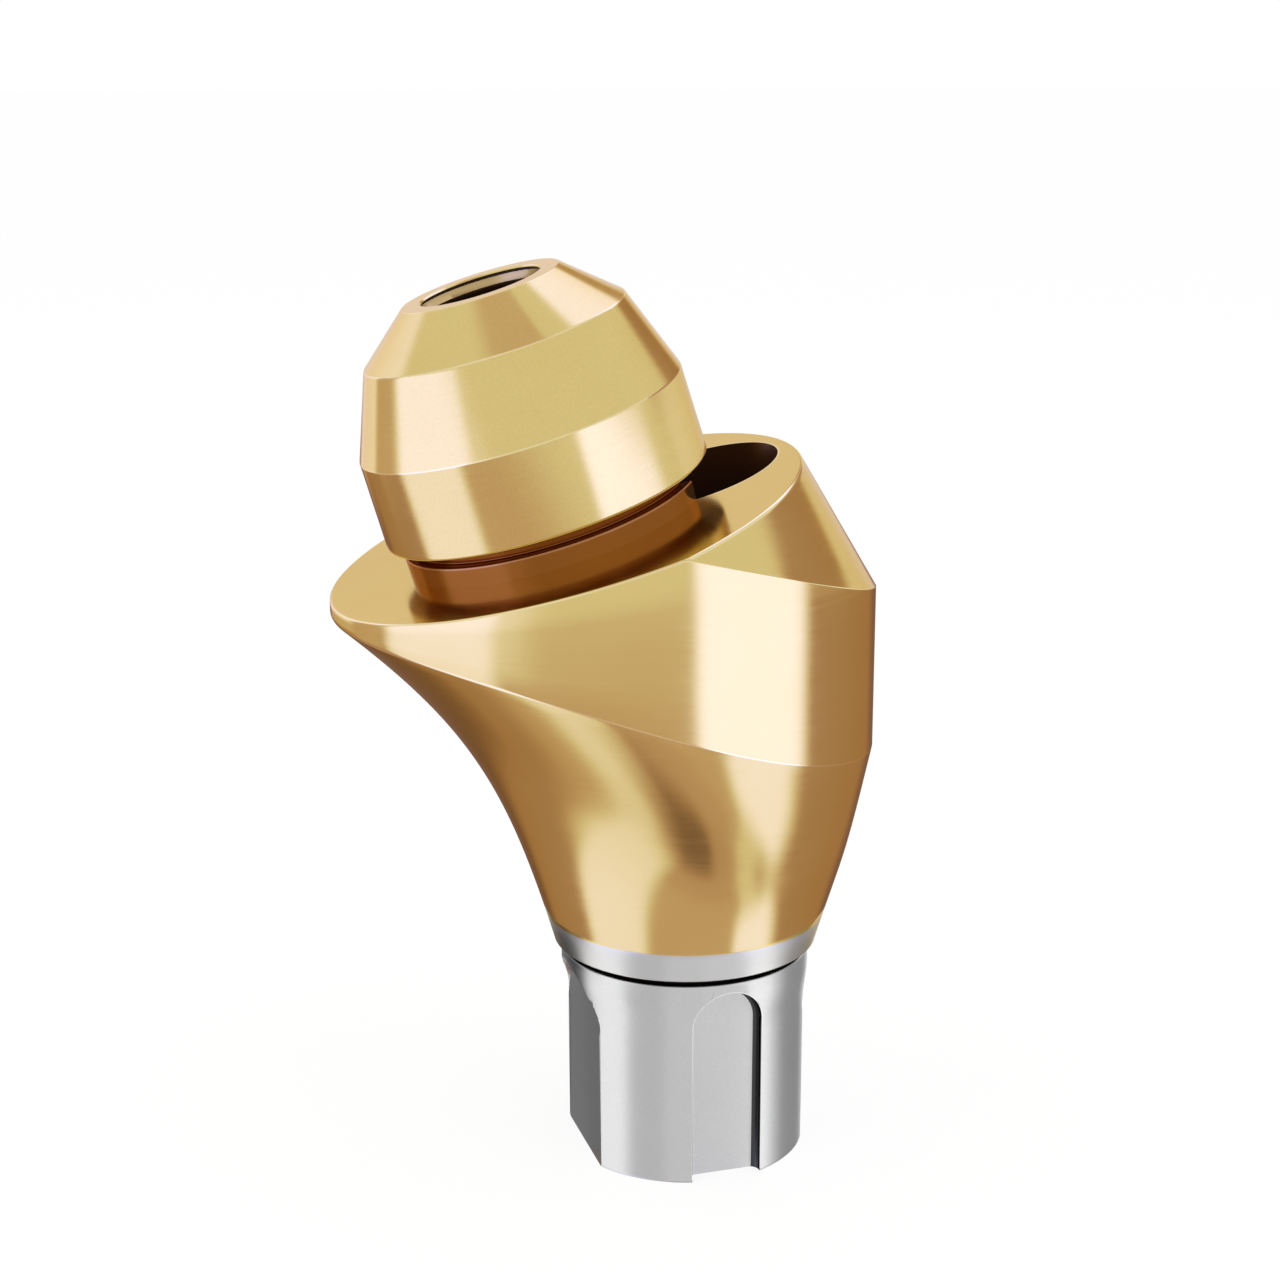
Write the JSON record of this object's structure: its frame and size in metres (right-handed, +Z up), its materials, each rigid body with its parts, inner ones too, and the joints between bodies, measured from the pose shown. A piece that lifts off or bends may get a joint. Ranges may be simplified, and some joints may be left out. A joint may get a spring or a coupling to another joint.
{
  "type": "angled dental abutment",
  "caption": "Angled screw-retained dental abutment: leaning conical head with a tapped bore, flat shoulder, lofted body, and a slotted plug that enters the implant.",
  "frame": {"origin": "on the implant axis, in the flat bottom of the plug", "axes": "+Z up the implant axis towards the shoulder; the head leans towards -X, and the screw channel opens on the +X side of the shoulder"},
  "size_m": [0.005, 0.0048, 0.0086],
  "materials": {
    "coated_titanium": "polished"
  },
  "bodies": {
    "root": {"abutment": "coated_titanium"}
  },
  "joints": []
}
